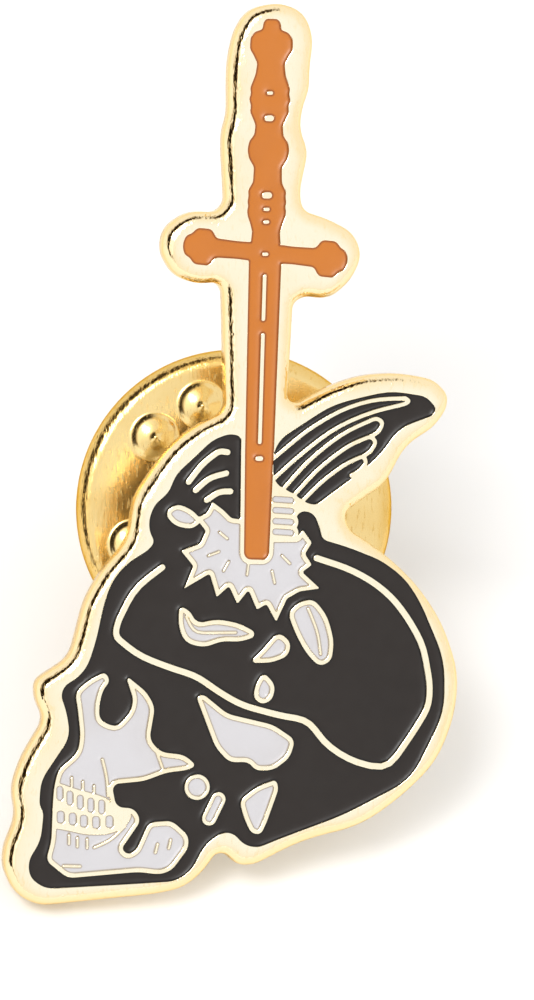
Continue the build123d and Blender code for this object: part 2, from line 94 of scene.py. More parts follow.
def joined(*parts: tuple[Array, Array]) -> tuple[Array, Array]:
    """Puts several (points, faces) surfaces into one, with the face numbers moved on."""
    starts = np.cumsum([0] + [len(points) for points, _ in parts[:-1]])
    points = np.concatenate([points for points, _ in parts])
    return points, np.concatenate([faces + start for (_, faces), start in zip(parts, starts)])


def grid_faces(rows: int, cols: int, close_rows: bool = False, close_cols: bool = False) -> Array:
    """Triangles of a rows x cols grid of points numbered row by row.

    Args:
        rows: number of rows.
        cols: number of columns.
        close_rows: the last row joins the first.
        close_cols: the last column joins the first.

    Returns:
        (m, 3) point numbers, two triangles to a square.
    """
    row = np.arange(rows if close_rows else rows - 1)[:, None]
    col = np.arange(cols if close_cols else cols - 1)[None]
    row_on, col_on = (row + 1) % rows, (col + 1) % cols
    a, b = row * cols + col, row * cols + col_on
    c, d = row_on * cols + col_on, row_on * cols + col
    return np.concatenate((np.stack((a, b, c), -1), np.stack((a, c, d), -1))).reshape(-1, 3)


def rounded(corners: list[tuple[float, ...]], radius: float, steps: int = 5, closed: bool = True) -> Array:
    """Polyline with its corners rounded.

    Formula: each corner P with neighbours A and B becomes the quadratic curve
    (1-t)^2 S + 2t(1-t) P + t^2 E, where S and E lie on PA and PB, radius away at most.

    Args:
        corners: corner points.
        radius: how far from a corner its curve starts.
        steps: points per corner.
        closed: the line runs back to its start; if not, the two end points stay.

    Returns:
        (k, d) points along the line.
    """
    p = np.array(corners, float)
    before, after = np.roll(p, 1, 0) - p, np.roll(p, -1, 0) - p
    back, ahead = np.linalg.norm(before, axis=1), np.linalg.norm(after, axis=1)
    reach = np.minimum(radius, 0.45 * np.minimum(back, ahead))
    start = p + before * (reach / back)[:, None]
    end = p + after * (reach / ahead)[:, None]
    t = np.linspace(0, 1, steps)[None, :, None]
    curve = (1 - t) ** 2 * start[:, None] + 2 * t * (1 - t) * p[:, None] + t**2 * end[:, None]
    if closed:
        return curve.reshape(-1, p.shape[1])
    return np.concatenate((p[:1], curve[1:-1].reshape(-1, p.shape[1]), p[-1:]))


def resampled(loop: Array, pitch: float) -> Array:
    """Closed line with points at equal steps of about pitch, measured along it."""
    ring = np.concatenate((loop, loop[:1]))
    run = np.concatenate(([0.0], np.cumsum(np.linalg.norm(np.diff(ring, axis=0), axis=1))))
    count = max(16, int(math.ceil(run[-1] / pitch)))
    at = np.arange(count) * run[-1] / count
    return np.stack([np.interp(at, run, ring[:, k]) for k in range(loop.shape[1])], -1)


def turned(profile: Array, steps: int, closed: bool = True) -> tuple[Array, Array]:
    """Surface of a profile turned about the y axis.

    Formula: the profile's (r, y) at angle a lies at (r cos a, y, r sin a).

    Args:
        profile: (n, 2) radius and y.
        steps: columns round the axis.
        closed: the profile is a ring; if not, it starts and ends on the axis.

    Returns:
        Points and faces.
    """
    angle = np.linspace(0, math.tau, steps, endpoint=False)[None]
    r, y = profile[:, :1], profile[:, 1:]
    points = np.stack((r * np.cos(angle), y + 0 * angle, r * np.sin(angle)), -1).reshape(-1, 3)
    return welded(points, grid_faces(len(profile), steps, closed, True))


def swept(path: Array, radius: float, sides: int = 20) -> tuple[Array, Array]:
    """Round wire along a path, with domed ends.

    Formula: at a path point with direction T the section is C + q (cos a S + sin a U), where
    S = T x Y and U = S x T; q is the radius, and falls to nothing over the last steps, which
    run on past each end by q sin b while the section shrinks by cos b.

    Args:
        path: (n, 3) centre line that never runs along y.
        radius: of the wire.
        sides: points round the section.

    Returns:
        Points and faces.
    """
    way = np.gradient(path, axis=0)
    way /= np.linalg.norm(way, axis=1)[:, None]
    bend = np.linspace(0, math.pi / 2, 6)[1:]
    tail = path[-1] + way[-1] * radius * np.sin(bend)[:, None]
    head = (path[0] - way[0] * radius * np.sin(bend)[:, None])[::-1]
    size = np.concatenate((np.cos(bend)[::-1], np.ones(len(path)), np.cos(bend)))[:, None, None]
    line = np.concatenate((head, path, tail))[:, None]
    way = np.concatenate((np.tile(way[:1], (5, 1)), way, np.tile(way[-1:], (5, 1))))
    side = np.cross(way, (0.0, 1.0, 0.0))
    side /= np.linalg.norm(side, axis=1)[:, None]
    over = np.cross(side, way)
    angle = np.linspace(0, math.tau, sides, endpoint=False)[None, :, None]
    points = line + radius * size * (np.cos(angle) * side[:, None] + np.sin(angle) * over[:, None])
    return welded(points.reshape(-1, 3), grid_faces(len(line), sides, False, True), 6)


def edge_drop(gap: Array, radius: float) -> Array:
    """How far a rounded edge lies below its face: r (1 - sqrt(1 - (1 - gap/r)^2)), none past r."""
    share = np.clip(1 - gap / radius, 0, 1)
    return radius * (1 - np.sqrt(1 - share**2))


def edge_rings(radius: float, steps: int) -> Array:
    """Distances from an edge, r (1 - cos a), that cut its rounding into equal angles."""
    return radius * (1 - np.cos(np.linspace(0, math.pi / 2, steps + 1)[1:]))


def nearest(points: Array, loops: list[Array]) -> tuple[Array, Array]:
    """Distance from each point to closed outlines, and whether it is inside them.

    Formula: the distance to a segment is that to its closest point, at share t of its length
    clipped to 0..1; a point is inside if a ray along +x crosses the outlines an odd number of times.

    Args:
        points: (n, 2) places.
        loops: closed outlines, (k, 2) each.

    Returns:
        (n,) distances and (n,) truth values.
    """
    start = np.concatenate(loops).astype(np.float32)
    run = np.concatenate([np.roll(loop, -1, 0) for loop in loops]).astype(np.float32) - start
    length = (run**2).sum(1)
    gaps, within = [], []
    for block in np.array_split(points.astype(np.float32), len(points) // 1200 + 1):
        u, v = block[:, :1] - start[:, 0], block[:, 1:] - start[:, 1]
        t = np.clip((u * run[:, 0] + v * run[:, 1]) / length, 0, 1)
        gaps.append(np.sqrt(((u - t * run[:, 0]) ** 2 + (v - t * run[:, 1]) ** 2).min(1)))
        spans = (v < 0) != (v < run[:, 1])
        slope = run[:, 0] / np.where(run[:, 1] == 0, 1, run[:, 1])
        within.append((spans & (u < v * slope)).sum(1) % 2 == 1)
    return np.concatenate(gaps), np.concatenate(within)


def filled(loops: list[Array], free: Array | None = None) -> tuple[Array, Array]:
    """Flat triangles between closed outlines, through free points inside them.

    Formula: of all the triangles, one with a free point at a corner or with an outline's step as
    its side is inside, and one with a step run backwards is outside; of the rest, a triangle is
    inside if its centre is.

    Args:
        loops: closed outlines with the area on their left.
        free: (n, 2) further points.

    Returns:
        (k, 2) points and (m, 3) faces, counter-clockwise.
    """
    starts = np.cumsum([0] + [len(loop) for loop in loops[:-1]])
    after = np.concatenate([np.roll(np.arange(len(w)), -1) + start for w, start in zip(loops, starts)])
    edge = np.concatenate(loops).astype(np.float32)
    places = edge if free is None else np.concatenate((edge, free.astype(np.float32)))
    found = delaunay_2d_cdt(places.tolist(), list(enumerate(after.tolist())), [], 0, 1e-6)
    flat, faces = np.array(found[0], np.float32), np.array(found[2], int)
    keys, wanted = edge.view(np.int64).ravel(), flat.view(np.int64).ravel()
    order = np.argsort(keys)
    spot = order[np.searchsorted(keys, wanted, sorter=order).clip(max=len(keys) - 1)]
    corner = np.where(keys[spot] == wanted, spot, -1)[faces]
    after = np.append(after, -2)
    following = np.roll(corner, -1, 1)
    ahead, behind = (after[corner] == following).any(1), (after[following] == corner).any(1)
    free_corner = (corner < 0).any(1)
    inside = (free_corner | ahead) & ~behind
    unsure = ~(free_corner | ahead | behind)
    inside[unsure] = nearest(flat[faces[unsure]].mean(1), loops)[1]
    return flat.astype(float), faces[inside]


def spread(loops: list[Array], rings: list[Array], pitch: float) -> tuple[Array, Array]:
    """Flat triangles between outlines, in rows that follow each outline and a grid between them.

    Formula: a row point is the outline point moved by the row's distance along the left normal;
    a row point is kept if it is at least 0.85 of that distance from every outline, and a grid
    point if it is further in than the last row.

    Args:
        loops: closed outlines with the area on their left.
        rings: distances of the rows for each outline.
        pitch: step of the grid.

    Returns:
        (k, 2) points and (m, 3) faces.
    """
    rows, wanted = [], []
    for loop, distances in zip(loops, rings):
        way = np.roll(loop, -1, 0) - np.roll(loop, 1, 0)
        left = np.stack((-way[:, 1], way[:, 0]), -1) / np.linalg.norm(way, axis=1)[:, None]
        rows.append((loop[None] + distances[:, None, None] * left[None]).reshape(-1, 2))
        wanted.append(np.repeat(0.85 * distances, len(loop)))
    low, high = np.concatenate(loops).min(0), np.concatenate(loops).max(0)
    x, z = np.arange(low[0], high[0], pitch), np.arange(low[1], high[1], pitch * 0.866)
    shift = np.arange(len(z)) % 2 * pitch / 2
    grid = np.stack(np.broadcast_arrays(x[None] + shift[:, None], z[:, None]), -1)
    rows.append(grid.reshape(-1, 2))
    wanted.append(np.full(grid.shape[0] * grid.shape[1], max(d.max() for d in rings) + 0.4 * pitch))
    free = np.concatenate(rows)
    gap, within = nearest(free, loops)
    return filled(loops, free[within & (gap > np.concatenate(wanted))])


def rim_edges(faces: Array) -> Array:
    """Edges that only one triangle uses, in that triangle's direction."""
    edges = np.concatenate((faces[:, (0, 1)], faces[:, (1, 2)], faces[:, (2, 0)])).astype(np.int64)
    count = int(edges.max()) + 1
    return edges[~np.isin(edges @ (count, 1), edges @ (1, count))]


def raised(flat: Array, y: Array | float) -> Array:
    """Flat (x, z) places lifted to (x, y, z)."""
    return np.stack((flat[:, 0], y + 0 * flat[:, 0], flat[:, 1]), -1)


def rim_walls(faces: Array, count: int) -> Array:
    """Triangles from a surface's rim to the same rim of a second one, numbered count further on."""
    a, b = rim_edges(faces).T
    return np.concatenate((np.stack((b, a, a + count), -1), np.stack((b, a + count, b + count), -1)))


def skirt(points: Array, faces: Array, levels: Array) -> tuple[Array, Array]:
    """Walls that hang from a surface's rim to a level in y at each rim point.

    Args:
        points: (n, 3) the surface.
        faces: its triangles.
        levels: (n,) y of the wall's foot under each point.

    Returns:
        Points and faces of the walls.
    """
    foot = points.copy()
    foot[:, 1] = levels
    return np.concatenate((points, foot)), rim_walls(faces, len(points))


def cad_outlines(node: str, level: float) -> list[Array]:
    """Outlines of a CAD node's flat face.

    Formula: an edge that one triangle of the face uses is on its outline, so each outline point
    knows the next one. Doubling the jumps gives each point the smallest number on its ring and
    its steps to that point, and sorting by the two puts every ring in order.

    Args:
        node: CAD node name.
        level: y of the flat face.

    Returns:
        Closed (x, z) outlines with the face on their left when seen from the front.
    """
    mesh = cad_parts[node].data
    places = np.empty(len(mesh.vertices) * 3, np.float32)
    mesh.vertices.foreach_get("co", places)
    corners = np.empty(len(mesh.polygons) * 3, np.int32)
    mesh.polygons.foreach_get("vertices", corners)
    points, faces = welded(places.reshape(-1, 3) / MM, corners.reshape(-1, 3))
    edges = rim_edges(faces[(np.abs(points[faces, 1] - level) < 0.002).all(1)])
    order = np.argsort(edges[:, 0])
    here, following = edges[order, 0], np.searchsorted(edges[order, 0], edges[order, 1])
    least, jump = np.arange(len(here)), following
    for _ in range(int(math.log2(len(here))) + 1):
        least, jump = np.minimum(least, least[jump]), jump[jump]
    last = least == np.arange(len(here))
    steps, jump = np.where(last, 0, 1), np.where(last, np.arange(len(here)), following)
    for _ in range(int(math.log2(len(here))) + 1):
        steps, jump = steps + steps[jump], jump[jump]
    ring = np.lexsort((-steps, least))
    cuts = np.flatnonzero(np.diff(least[ring])) + 1
    return np.split(points[here[ring]][:, (0, 2)], cuts)


def make_piece(name: str, points: Array, faces: Array, sharp: float, **values: Array) -> bpy.types.Object:
    """A mesh object at the origin with its faces turned outwards.

    Args:
        name: piece name.
        points: (n, 3) positions in mm.
        faces: (m, 3) triangles.
        sharp: angle in degrees past which an edge shows as an edge.
        values: a number for each point, kept under the given name for the material.

    Returns:
        The new object.
    """
    mesh = bpy.data.meshes.new(name)
    mesh.from_pydata((points * MM).tolist(), [], faces.tolist())
    shell = bmesh.new()
    shell.from_mesh(mesh)
    bmesh.ops.recalc_face_normals(shell, faces=shell.faces)
    shell.to_mesh(mesh)
    shell.free()
    for label, numbers in values.items():
        attribute = mesh.attributes.new(label, "FLOAT", "POINT")
        attribute.data.foreach_set("value", numbers.astype(np.float32))
    mesh.polygons.foreach_set("use_smooth", np.ones(len(mesh.polygons), bool))
    mesh.set_sharp_from_angle(angle=math.radians(sharp))
    piece = bpy.data.objects.new(name, mesh)
    bpy.context.scene.collection.objects.link(piece)
    LOG.info("%s: %d triangles", name, len(mesh.polygons))
    return piece


# ---- shader helpers ----


class Graph:
    """Adds and links the nodes of one shader tree."""

    def __init__(self, tree: bpy.types.NodeTree) -> None:
        """Keeps the tree."""
        self.tree = tree

    def add(self, kind: str, **values: object) -> bpy.types.Node:
        """Adds a node.

        Args:
            kind: Blender's node type.
            values: its settings, or its input sockets by name with _ for a space; a socket
                given as a value is linked.

        Returns:
            The node.
        """
        node = self.tree.nodes.new(kind)
        for key, value in values.items():
            if hasattr(node, key) and key != "inputs":
                setattr(node, key, value)
                continue
            index = int(key[1:]) if key[0] == "i" and key[1:].isdigit() else key.replace("_", " ")
            if isinstance(value, bpy.types.NodeSocket):
                self.tree.links.new(value, node.inputs[index])
            else:
                node.inputs[index].default_value = value
        return node

    def math(self, operation: str, *terms: object) -> bpy.types.NodeSocket:
        """A Math node's result."""
        values = {f"i{k}": term for k, term in enumerate(terms)}
        return self.add("ShaderNodeMath", operation=operation, **values).outputs[0]

    def ramp(
        self, value: object, low: float, high: float, start: float = 0.0, end: float = 1.0
    ) -> bpy.types.NodeSocket:
        """A value carried smoothly from low..high to start..end."""
        values = {"i0": value, "i1": low, "i2": high, "i3": start, "i4": end}
        return self.add("ShaderNodeMapRange", interpolation_type="SMOOTHSTEP", **values).outputs[0]

    def mix(self, share: object, first: object, second: object) -> bpy.types.NodeSocket:
        """A colour between two colours."""
        return self.add("ShaderNodeMix", data_type="RGBA", i0=share, i6=first, i7=second).outputs[2]

    def noise(
        self, place: object, scale: object, detail: float, roughness: float = 0.5
    ) -> bpy.types.NodeSocket:
        """A noise texture's value."""
        settings = {"Vector": place, "Scale": scale, "Detail": detail, "Roughness": roughness}
        return self.add("ShaderNodeTexNoise", **settings).outputs[0]

    def feed(self, node: bpy.types.Node, **sources: bpy.types.NodeSocket) -> None:
        """Links sources to a node's inputs, named with _ for a space."""
        for label, source in sources.items():
            self.tree.links.new(source, node.inputs[label.replace("_", " ")])

    def surface(self, shader: bpy.types.Node, height: object, relief: float, **sources: object) -> None:
        """Feeds a Principled shader its sources and a bump of relief mm over the height."""
        bump = self.add("ShaderNodeBump", Height=height, Distance=relief * MM, Strength=1.0)
        self.feed(shader, Normal=bump.outputs[0], **sources)


def new_group(
    name: str, inputs: dict[str, float | None], outputs: list[str]
) -> tuple[bpy.types.NodeTree, Graph]:
    """An empty shader node group with named sockets.

    Args:
        name: group name.
        inputs: socket name and its usual number; None makes a vector socket.
        outputs: names of the number sockets that it puts out.

    Returns:
        The group and a graph to fill it with.
    """
    tree = bpy.data.node_groups.new(name, "ShaderNodeTree")
    for label, usual in inputs.items():
        kind = "NodeSocketVector" if usual is None else "NodeSocketFloat"
        socket = tree.interface.new_socket(label, in_out="INPUT", socket_type=kind)
        if usual is not None:
            socket.default_value = usual
    for label in outputs:
        tree.interface.new_socket(label, in_out="OUTPUT", socket_type="NodeSocketFloat")
    return tree, Graph(tree)


def polish_group() -> bpy.types.NodeTree:
    """Plated metal's relief: stretched polishing lines, soft dents and small pits.

    Returns:
        A group that puts out Height, 0 to 1, and Streak, a mask of the polishing lines.
    """
    inputs = {"Vector": None, "Grain": 9000.0, "Stretch": 0.2, "Pits": 0.2}
    tree, g = new_group("plated_polish", inputs, ["Height", "Streak"])
    source = g.add("NodeGroupInput").outputs
    scale = g.add("ShaderNodeCombineXYZ", X=1.0, Y=1.0, Z=source["Stretch"]).outputs[0]
    drawn = g.add("ShaderNodeVectorMath", operation="MULTIPLY", i0=source["Vector"], i1=scale).outputs[0]
    lines = g.noise(drawn, source["Grain"], 2.0)
    dents = g.noise(source["Vector"], g.math("MULTIPLY", source["Grain"], 0.12), 2.0)
    pit_scale = g.math("MULTIPLY", source["Grain"], 0.3)
    cells = g.add("ShaderNodeTexVoronoi", Vector=source["Vector"], Scale=pit_scale).outputs[0]
    pits = g.math("MULTIPLY", g.ramp(cells, 0.0, 0.16, 1.0, 0.0), source["Pits"])
    height = g.math("ADD", g.math("MULTIPLY", lines, 0.35), g.math("MULTIPLY", dents, 0.65))
    streak = g.ramp(lines, 0.52, 0.74)
    g.feed(g.add("NodeGroupOutput"), Height=g.math("SUBTRACT", height, pits), Streak=streak)
    return tree


def cure_group() -> bpy.types.NodeTree:
    """Oven-cured fill: a faint orange-peel skin, and specks of dust set into it.

    Returns:
        A group that puts out Height, 0 to 1, and Speck, a mask of the specks.
    """
    tree, g = new_group("cured_fill", {"Vector": None, "Peel": 2200.0, "Specks": 1.0}, ["Height", "Speck"])
    source = g.add("NodeGroupInput").outputs
    skin = g.noise(source["Vector"], source["Peel"], 3.0, 0.45)
    speck_scale = g.math("MULTIPLY", source["Peel"], 0.5)
    cells = g.add("ShaderNodeTexVoronoi", Vector=source["Vector"], Scale=speck_scale)
    chosen = g.ramp(g.add("ShaderNodeSeparateColor", i0=cells.outputs["Color"]).outputs[0], 0.9, 0.92)
    speck = g.math("MULTIPLY", g.ramp(cells.outputs["Distance"], 0.02, 0.06, 1.0, 0.0), chosen)
    g.feed(g.add("NodeGroupOutput"), Height=skin, Speck=g.math("MULTIPLY", speck, source["Specks"]))
    return tree


POLISH = polish_group()
CURE = cure_group()


def begin_material(name: str) -> tuple[bpy.types.Material, Graph, bpy.types.Node]:
    """A node material with only its Principled shader.

    Args:
        name: finish name.

    Returns:
        The material, its graph and the shader.
    """
    material = bpy.data.materials.new(f"{name}_finish")
    material.use_nodes = True
    graph = Graph(material.node_tree)
    return material, graph, material.node_tree.nodes["Principled BSDF"]


Finish = "MetalFinish | EnamelFinish"


@dataclass(frozen=True)
class MetalFinish:
    """Plated or bare metal with polishing lines; deep is its colour in streaks, and on edges as a painted
    reflection.

    rough_edge is how much stronger the relief gets where the piece's own edge value is 1.
    """

    name: str
    colour: Colour
    deep: Colour
    roughness: float = 0.14
    spread: float = 0.12
    relief: float = 0.0015
    grain: float = 9000.0
    stretch: float = 0.25
    pits: float = 0.15
    # share of the deep colour over the edge value: a painted reflection on the rounded edge
    edge_reflection_share: float = 0.0
    rough_edge: float = 0.0

    @cache
    def material(self) -> bpy.types.Material:
        """Builds the finish once.

        Formula: the colour runs from the main to the deep one with the streak mask, and further
        over the piece's own edge value where it has one, a painted reflection; roughness rises with the same
        mask.

        Returns:
            The material.
        """
        material, g, shader = begin_material(self.name)
        place = g.add("ShaderNodeTexCoord").outputs["Object"]
        numbers = {"Grain": self.grain, "Stretch": self.stretch, "Pits": self.pits}
        polish = g.add("ShaderNodeGroup", node_tree=POLISH, Vector=place, **numbers)
        streak = polish.outputs["Streak"]
        broad = g.ramp(g.noise(place, 420.0, 2.0), 0.42, 0.75, 0.0, 0.3)
        share = g.math("ADD", g.math("MULTIPLY", streak, 0.35), broad)
        height = polish.outputs["Height"]
        if self.edge_reflection_share:
            edge = g.add("ShaderNodeAttribute", attribute_name="edge").outputs["Fac"]
            # painted reflection: the rounded edge is tinted toward the deep gold
            share = g.math("ADD", share, g.ramp(edge, 0.0, 0.7, 0.0, self.edge_reflection_share))
            height = g.math("MULTIPLY", height, g.ramp(edge, 0.0, 0.6, 1.0, 1.0 + self.rough_edge))
        colour = g.mix(g.math("MINIMUM", share, 1.0), (*self.colour, 1), (*self.deep, 1))
        rough = g.ramp(streak, 0.0, 1.0, self.roughness, self.roughness + self.spread)
        shader.inputs["Metallic"].default_value = 1.0
        shader.inputs["Specular Tint"].default_value = (*self.deep, 1)
        g.surface(shader, height, self.relief, Base_Color=colour, Roughness=rough)
        return material


@dataclass(frozen=True)
class EnamelFinish:
    """Soft enamel: a pigment colour with a darker rim colour painted along each metal wall as shade."""

    name: str
    colour: Colour
    # rim: painted shade along the metal walls, and also the colour of the dust specks
    rim: Colour
    painted_shade_width: float = 0.07
    roughness: float = 0.3
    peel: float = 2200.0
    relief: float = 0.004
    specks: float = 0.4
    shine: float = 0.5

    @cache
    def material(self) -> bpy.types.Material:
        """Builds the finish once.

        Formula: the rim colour, painted shade along the walls, fades into the pigment over
        painted_shade_width of the piece's own wall value, the distance to the nearest wall; specks of dust
        take the rim colour too.

        Returns:
            The material.
        """
        material, g, shader = begin_material(self.name)
        place = g.add("ShaderNodeTexCoord").outputs["Object"]
        cure = g.add("ShaderNodeGroup", node_tree=CURE, Peel=self.peel, Specks=self.specks, Vector=place)
        wall = g.add("ShaderNodeAttribute", attribute_name="wall").outputs["Fac"]
        cloud = g.ramp(g.noise(place, 500.0, 3.0), 0.4, 0.8, 0.0, 0.12)
        # painted shade: the rim colour laid over the pigment close to each metal wall
        near = g.ramp(wall, 0.0, self.painted_shade_width, 1.0, 0.0)
        share = g.math("ADD", near, g.math("ADD", cure.outputs["Speck"], cloud))
        colour = g.mix(g.math("MINIMUM", share, 1.0), (*self.colour, 1), (*self.rim, 1))
        rough = g.ramp(cure.outputs["Height"], 0.3, 0.7, self.roughness, self.roughness + 0.1)
        shader.inputs["Specular IOR Level"].default_value = self.shine
        g.surface(shader, cure.outputs["Height"], self.relief, Base_Color=colour, Roughness=rough)
        return material


# the edge share of deep gold is a painted reflection on the rolled edges
PLATE_GOLD = MetalFinish(
    "plate_gold", (0.968, 0.893, 0.69), (0.95, 0.77, 0.46), roughness=0.1, spread=0.08,
    relief=0.001, grain=7500.0, stretch=0.4, edge_reflection_share=0.9, rough_edge=60.0,
)  # fmt: skip
POST_GOLD = MetalFinish("post_gold", (0.93, 0.83, 0.56), (0.8, 0.62, 0.3), roughness=0.2, stretch=3.0)
# the edge share of deep gold is a painted reflection on the disc's rolled rim
CLUTCH_GOLD = MetalFinish(
    "clutch_gold", (0.89, 0.68, 0.31), (0.74, 0.45, 0.1), roughness=0.18, spread=0.18,
    relief=0.009, grain=11000.0, stretch=0.2, edge_reflection_share=0.5, rough_edge=5.0,
)  # fmt: skip
WELD_METAL = MetalFinish(
    "weld", (0.86, 0.78, 0.6), (0.6, 0.5, 0.34), roughness=0.38, spread=0.2,
    relief=0.006, grain=4000.0, stretch=1.0, pits=0.5,
)  # fmt: skip
SPRING_WIRE = MetalFinish(
    "spring_wire", (0.83, 0.81, 0.76), (0.6, 0.57, 0.5), roughness=0.22, spread=0.14,
    relief=0.001, grain=12000.0, stretch=1.0,
)  # fmt: skip
# the rim colours are painted shade along the metal walls, and the colour of the dust specks
BLACK_ENAMEL = EnamelFinish("black_enamel", (0.0125, 0.0075, 0.005), (0.001, 0.0006, 0.0004), 0.1, shine=0.38)
WHITE_ENAMEL = EnamelFinish("white_enamel", (0.565, 0.552, 0.569), (0.36, 0.3, 0.24), 0.05)
ORANGE_ENAMEL = EnamelFinish("orange_enamel", (0.524, 0.156, 0.0095), (0.27, 0.065, 0.004), 0.09)


@dataclass
class Dresser:
    """Gives a finished piece its material, body and replaced nodes."""

    body: Body

    def dress(self, piece: bpy.types.Object, finish: Finish, *nodes: str) -> bpy.types.Object:
        """Puts the piece in the frame.

        Args:
            piece: the mesh object, in place.
            finish: what it is finished in.
            nodes: CAD nodes it stands for.

        Returns:
            The piece.
        """
        piece.data.materials.append(finish.material())
        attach(piece, self.body.value)
        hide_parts(*nodes)
        return piece


# ---- the struck plate and its fills ----


@dataclass
class Artwork:
    """Outlines of the plate and of every colour cell, read once from the CAD frame."""

    pitch: float = 0.06

    def __post_init__(self) -> None:
        """Reads and evens out the outlines."""
        found = cad_outlines("base_plate", Level.BACK.value)
        back = sorted((resampled(w, self.pitch)[::-1] for w in found), key=len)
        self.outline, self.seat = back[-1], back[0]
        self.cells = {
            node: [resampled(w, self.pitch) for w in cad_outlines(node, Level.FILL.value)]
            for node in sorted(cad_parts)
            if node.startswith("enamel_")
        }


@dataclass
class StruckPlate(Dresser):
    """Gold-plated plate: puffy outer edge, raised lines between the cells, a seat for the post."""

    roll: float = 0.55
    line_round: float = 0.055
    back_round: float = 0.12
    seat_depth: float = 0.15
    pitch: float = 0.4

    def build(self, art: Artwork) -> bpy.types.Object:
        """Makes the plate as one closed shell.

        Formula: the front is at y = -1.6 plus the rounded drop of the roll radius by distance to
        the outline, plus that of the line radius by distance to the nearest cell; walls drop from
        its rim to the back's rounded edge and to the cells' floors.

        Args:
            art: the outlines.

        Returns:
            The piece.
        """
        cells = [w[::-1] for loops in art.cells.values() for w in loops]
        front = self._front(art.outline, cells)
        floor_flat, floor_faces = filled([w[::-1] for w in cells])
        floor = raised(floor_flat, Level.FLOOR.value), floor_faces
        back = self._back(art)
        points, faces = welded(*joined(*front, floor, back))
        edge, _ = nearest(points[:, (0, 2)], [art.outline])
        # edge value across the roll: it deepens the gold there as a painted reflection, and roughens the
        # relief
        side = np.clip(1 - edge / self.roll, 0, 1)
        piece = make_piece("struck_plate", points, faces, 50, edge=side)
        return self.dress(piece, PLATE_GOLD, "base_plate")

    def _front(self, outline: Array, cells: list[Array]) -> list[tuple[Array, Array]]:
        """The front face with its rounded edges, and the walls that hang from it."""
        rings = [edge_rings(self.roll, 6)] + [edge_rings(self.line_round, 3)] * len(cells)
        flat, faces = spread([outline, *cells], rings, self.pitch)
        outer, _ = nearest(flat, [outline])
        inner, _ = nearest(flat, cells)
        y = Level.FRONT.value + edge_drop(outer, self.roll) + edge_drop(inner, self.line_round)
        points = raised(flat, y)
        foot = np.where(outer < 0.005, Level.BACK.value - self.back_round, Level.FLOOR.value)
        return [(points, faces), skirt(points, faces, foot)]

    def _back(self, art: Artwork) -> tuple[Array, Array]:
        """The back face with its edge rounded and the sunk seat."""
        rings = [edge_rings(self.back_round, 3), edge_rings(0.05, 2)]
        loops = [art.outline, art.seat[::-1] if signed_area(art.seat) > 0 else art.seat]
        flat, faces = spread(loops, rings, 0.7)
        edge, _ = nearest(flat, [art.outline])
        points = raised(flat, Level.BACK.value - edge_drop(edge, self.back_round))
        hole = np.where(edge < 0.005, points[:, 1], -self.seat_depth)
        well, well_faces = filled([loops[1][::-1]])
        face, floor = (points, faces[:, ::-1]), (raised(well, -self.seat_depth), well_faces)
        return joined(face, skirt(*face, hole), floor)


def signed_area(loop: Array) -> float:
    """Area inside a closed outline, positive if it runs counter-clockwise."""
    x, z = loop.T
    return float((x * np.roll(z, -1) - np.roll(x, -1) * z).sum() / 2)


@dataclass
class EnamelFill(Dresser):
    """Colour fill of one group of cells, its skin climbing a little up the metal walls."""

    level: float = -1.495
    climb: float = 0.065
    reach: float = 0.08
    bite: float = 0.003
    pitch: float = 0.38

    def build(self, node: str, loops: list[Array], finish: EnamelFinish) -> bpy.types.Object:
        """Makes the fill.

        Formula: the skin is at y = level - climb exp(-gap / reach), with gap the distance to the
        nearest wall, and each outline is moved out by bite so that no slit shows.

        Args:
            node: CAD node it stands for.
            loops: the cells' outlines.
            finish: the pigment.

        Returns:
            The piece.
        """
        grown = [self._grown(w) for w in loops]
        rings = np.array([0.02, 0.05, 0.1, 0.18, 0.3])
        flat, faces = spread(grown, [rings] * len(grown), self.pitch)
        gap, _ = nearest(flat, grown)
        skin = raised(flat, self.level - self.climb * np.exp(-gap / self.reach))
        bottom, bottom_faces = filled(grown)
        floor = raised(bottom, Level.FLOOR.value), bottom_faces[:, ::-1]
        walls = skirt(skin, faces, np.full(len(skin), Level.FLOOR.value))
        points, whole = welded(*joined((skin, faces), walls, floor))
        wall, _ = nearest(points[:, (0, 2)], grown)
        piece = make_piece(f"{node}_fill", points, whole, 40, wall=wall)
        return self.dress(piece, finish, node)

    def _grown(self, loop: Array) -> Array:
        """The outline moved out by the bite, along its right normal."""
        way = np.roll(loop, -1, 0) - np.roll(loop, 1, 0)
        right = np.stack((way[:, 1], -way[:, 0]), -1) / np.linalg.norm(way, axis=1)[:, None]
        return loop + self.bite * right


# ---- the post ----


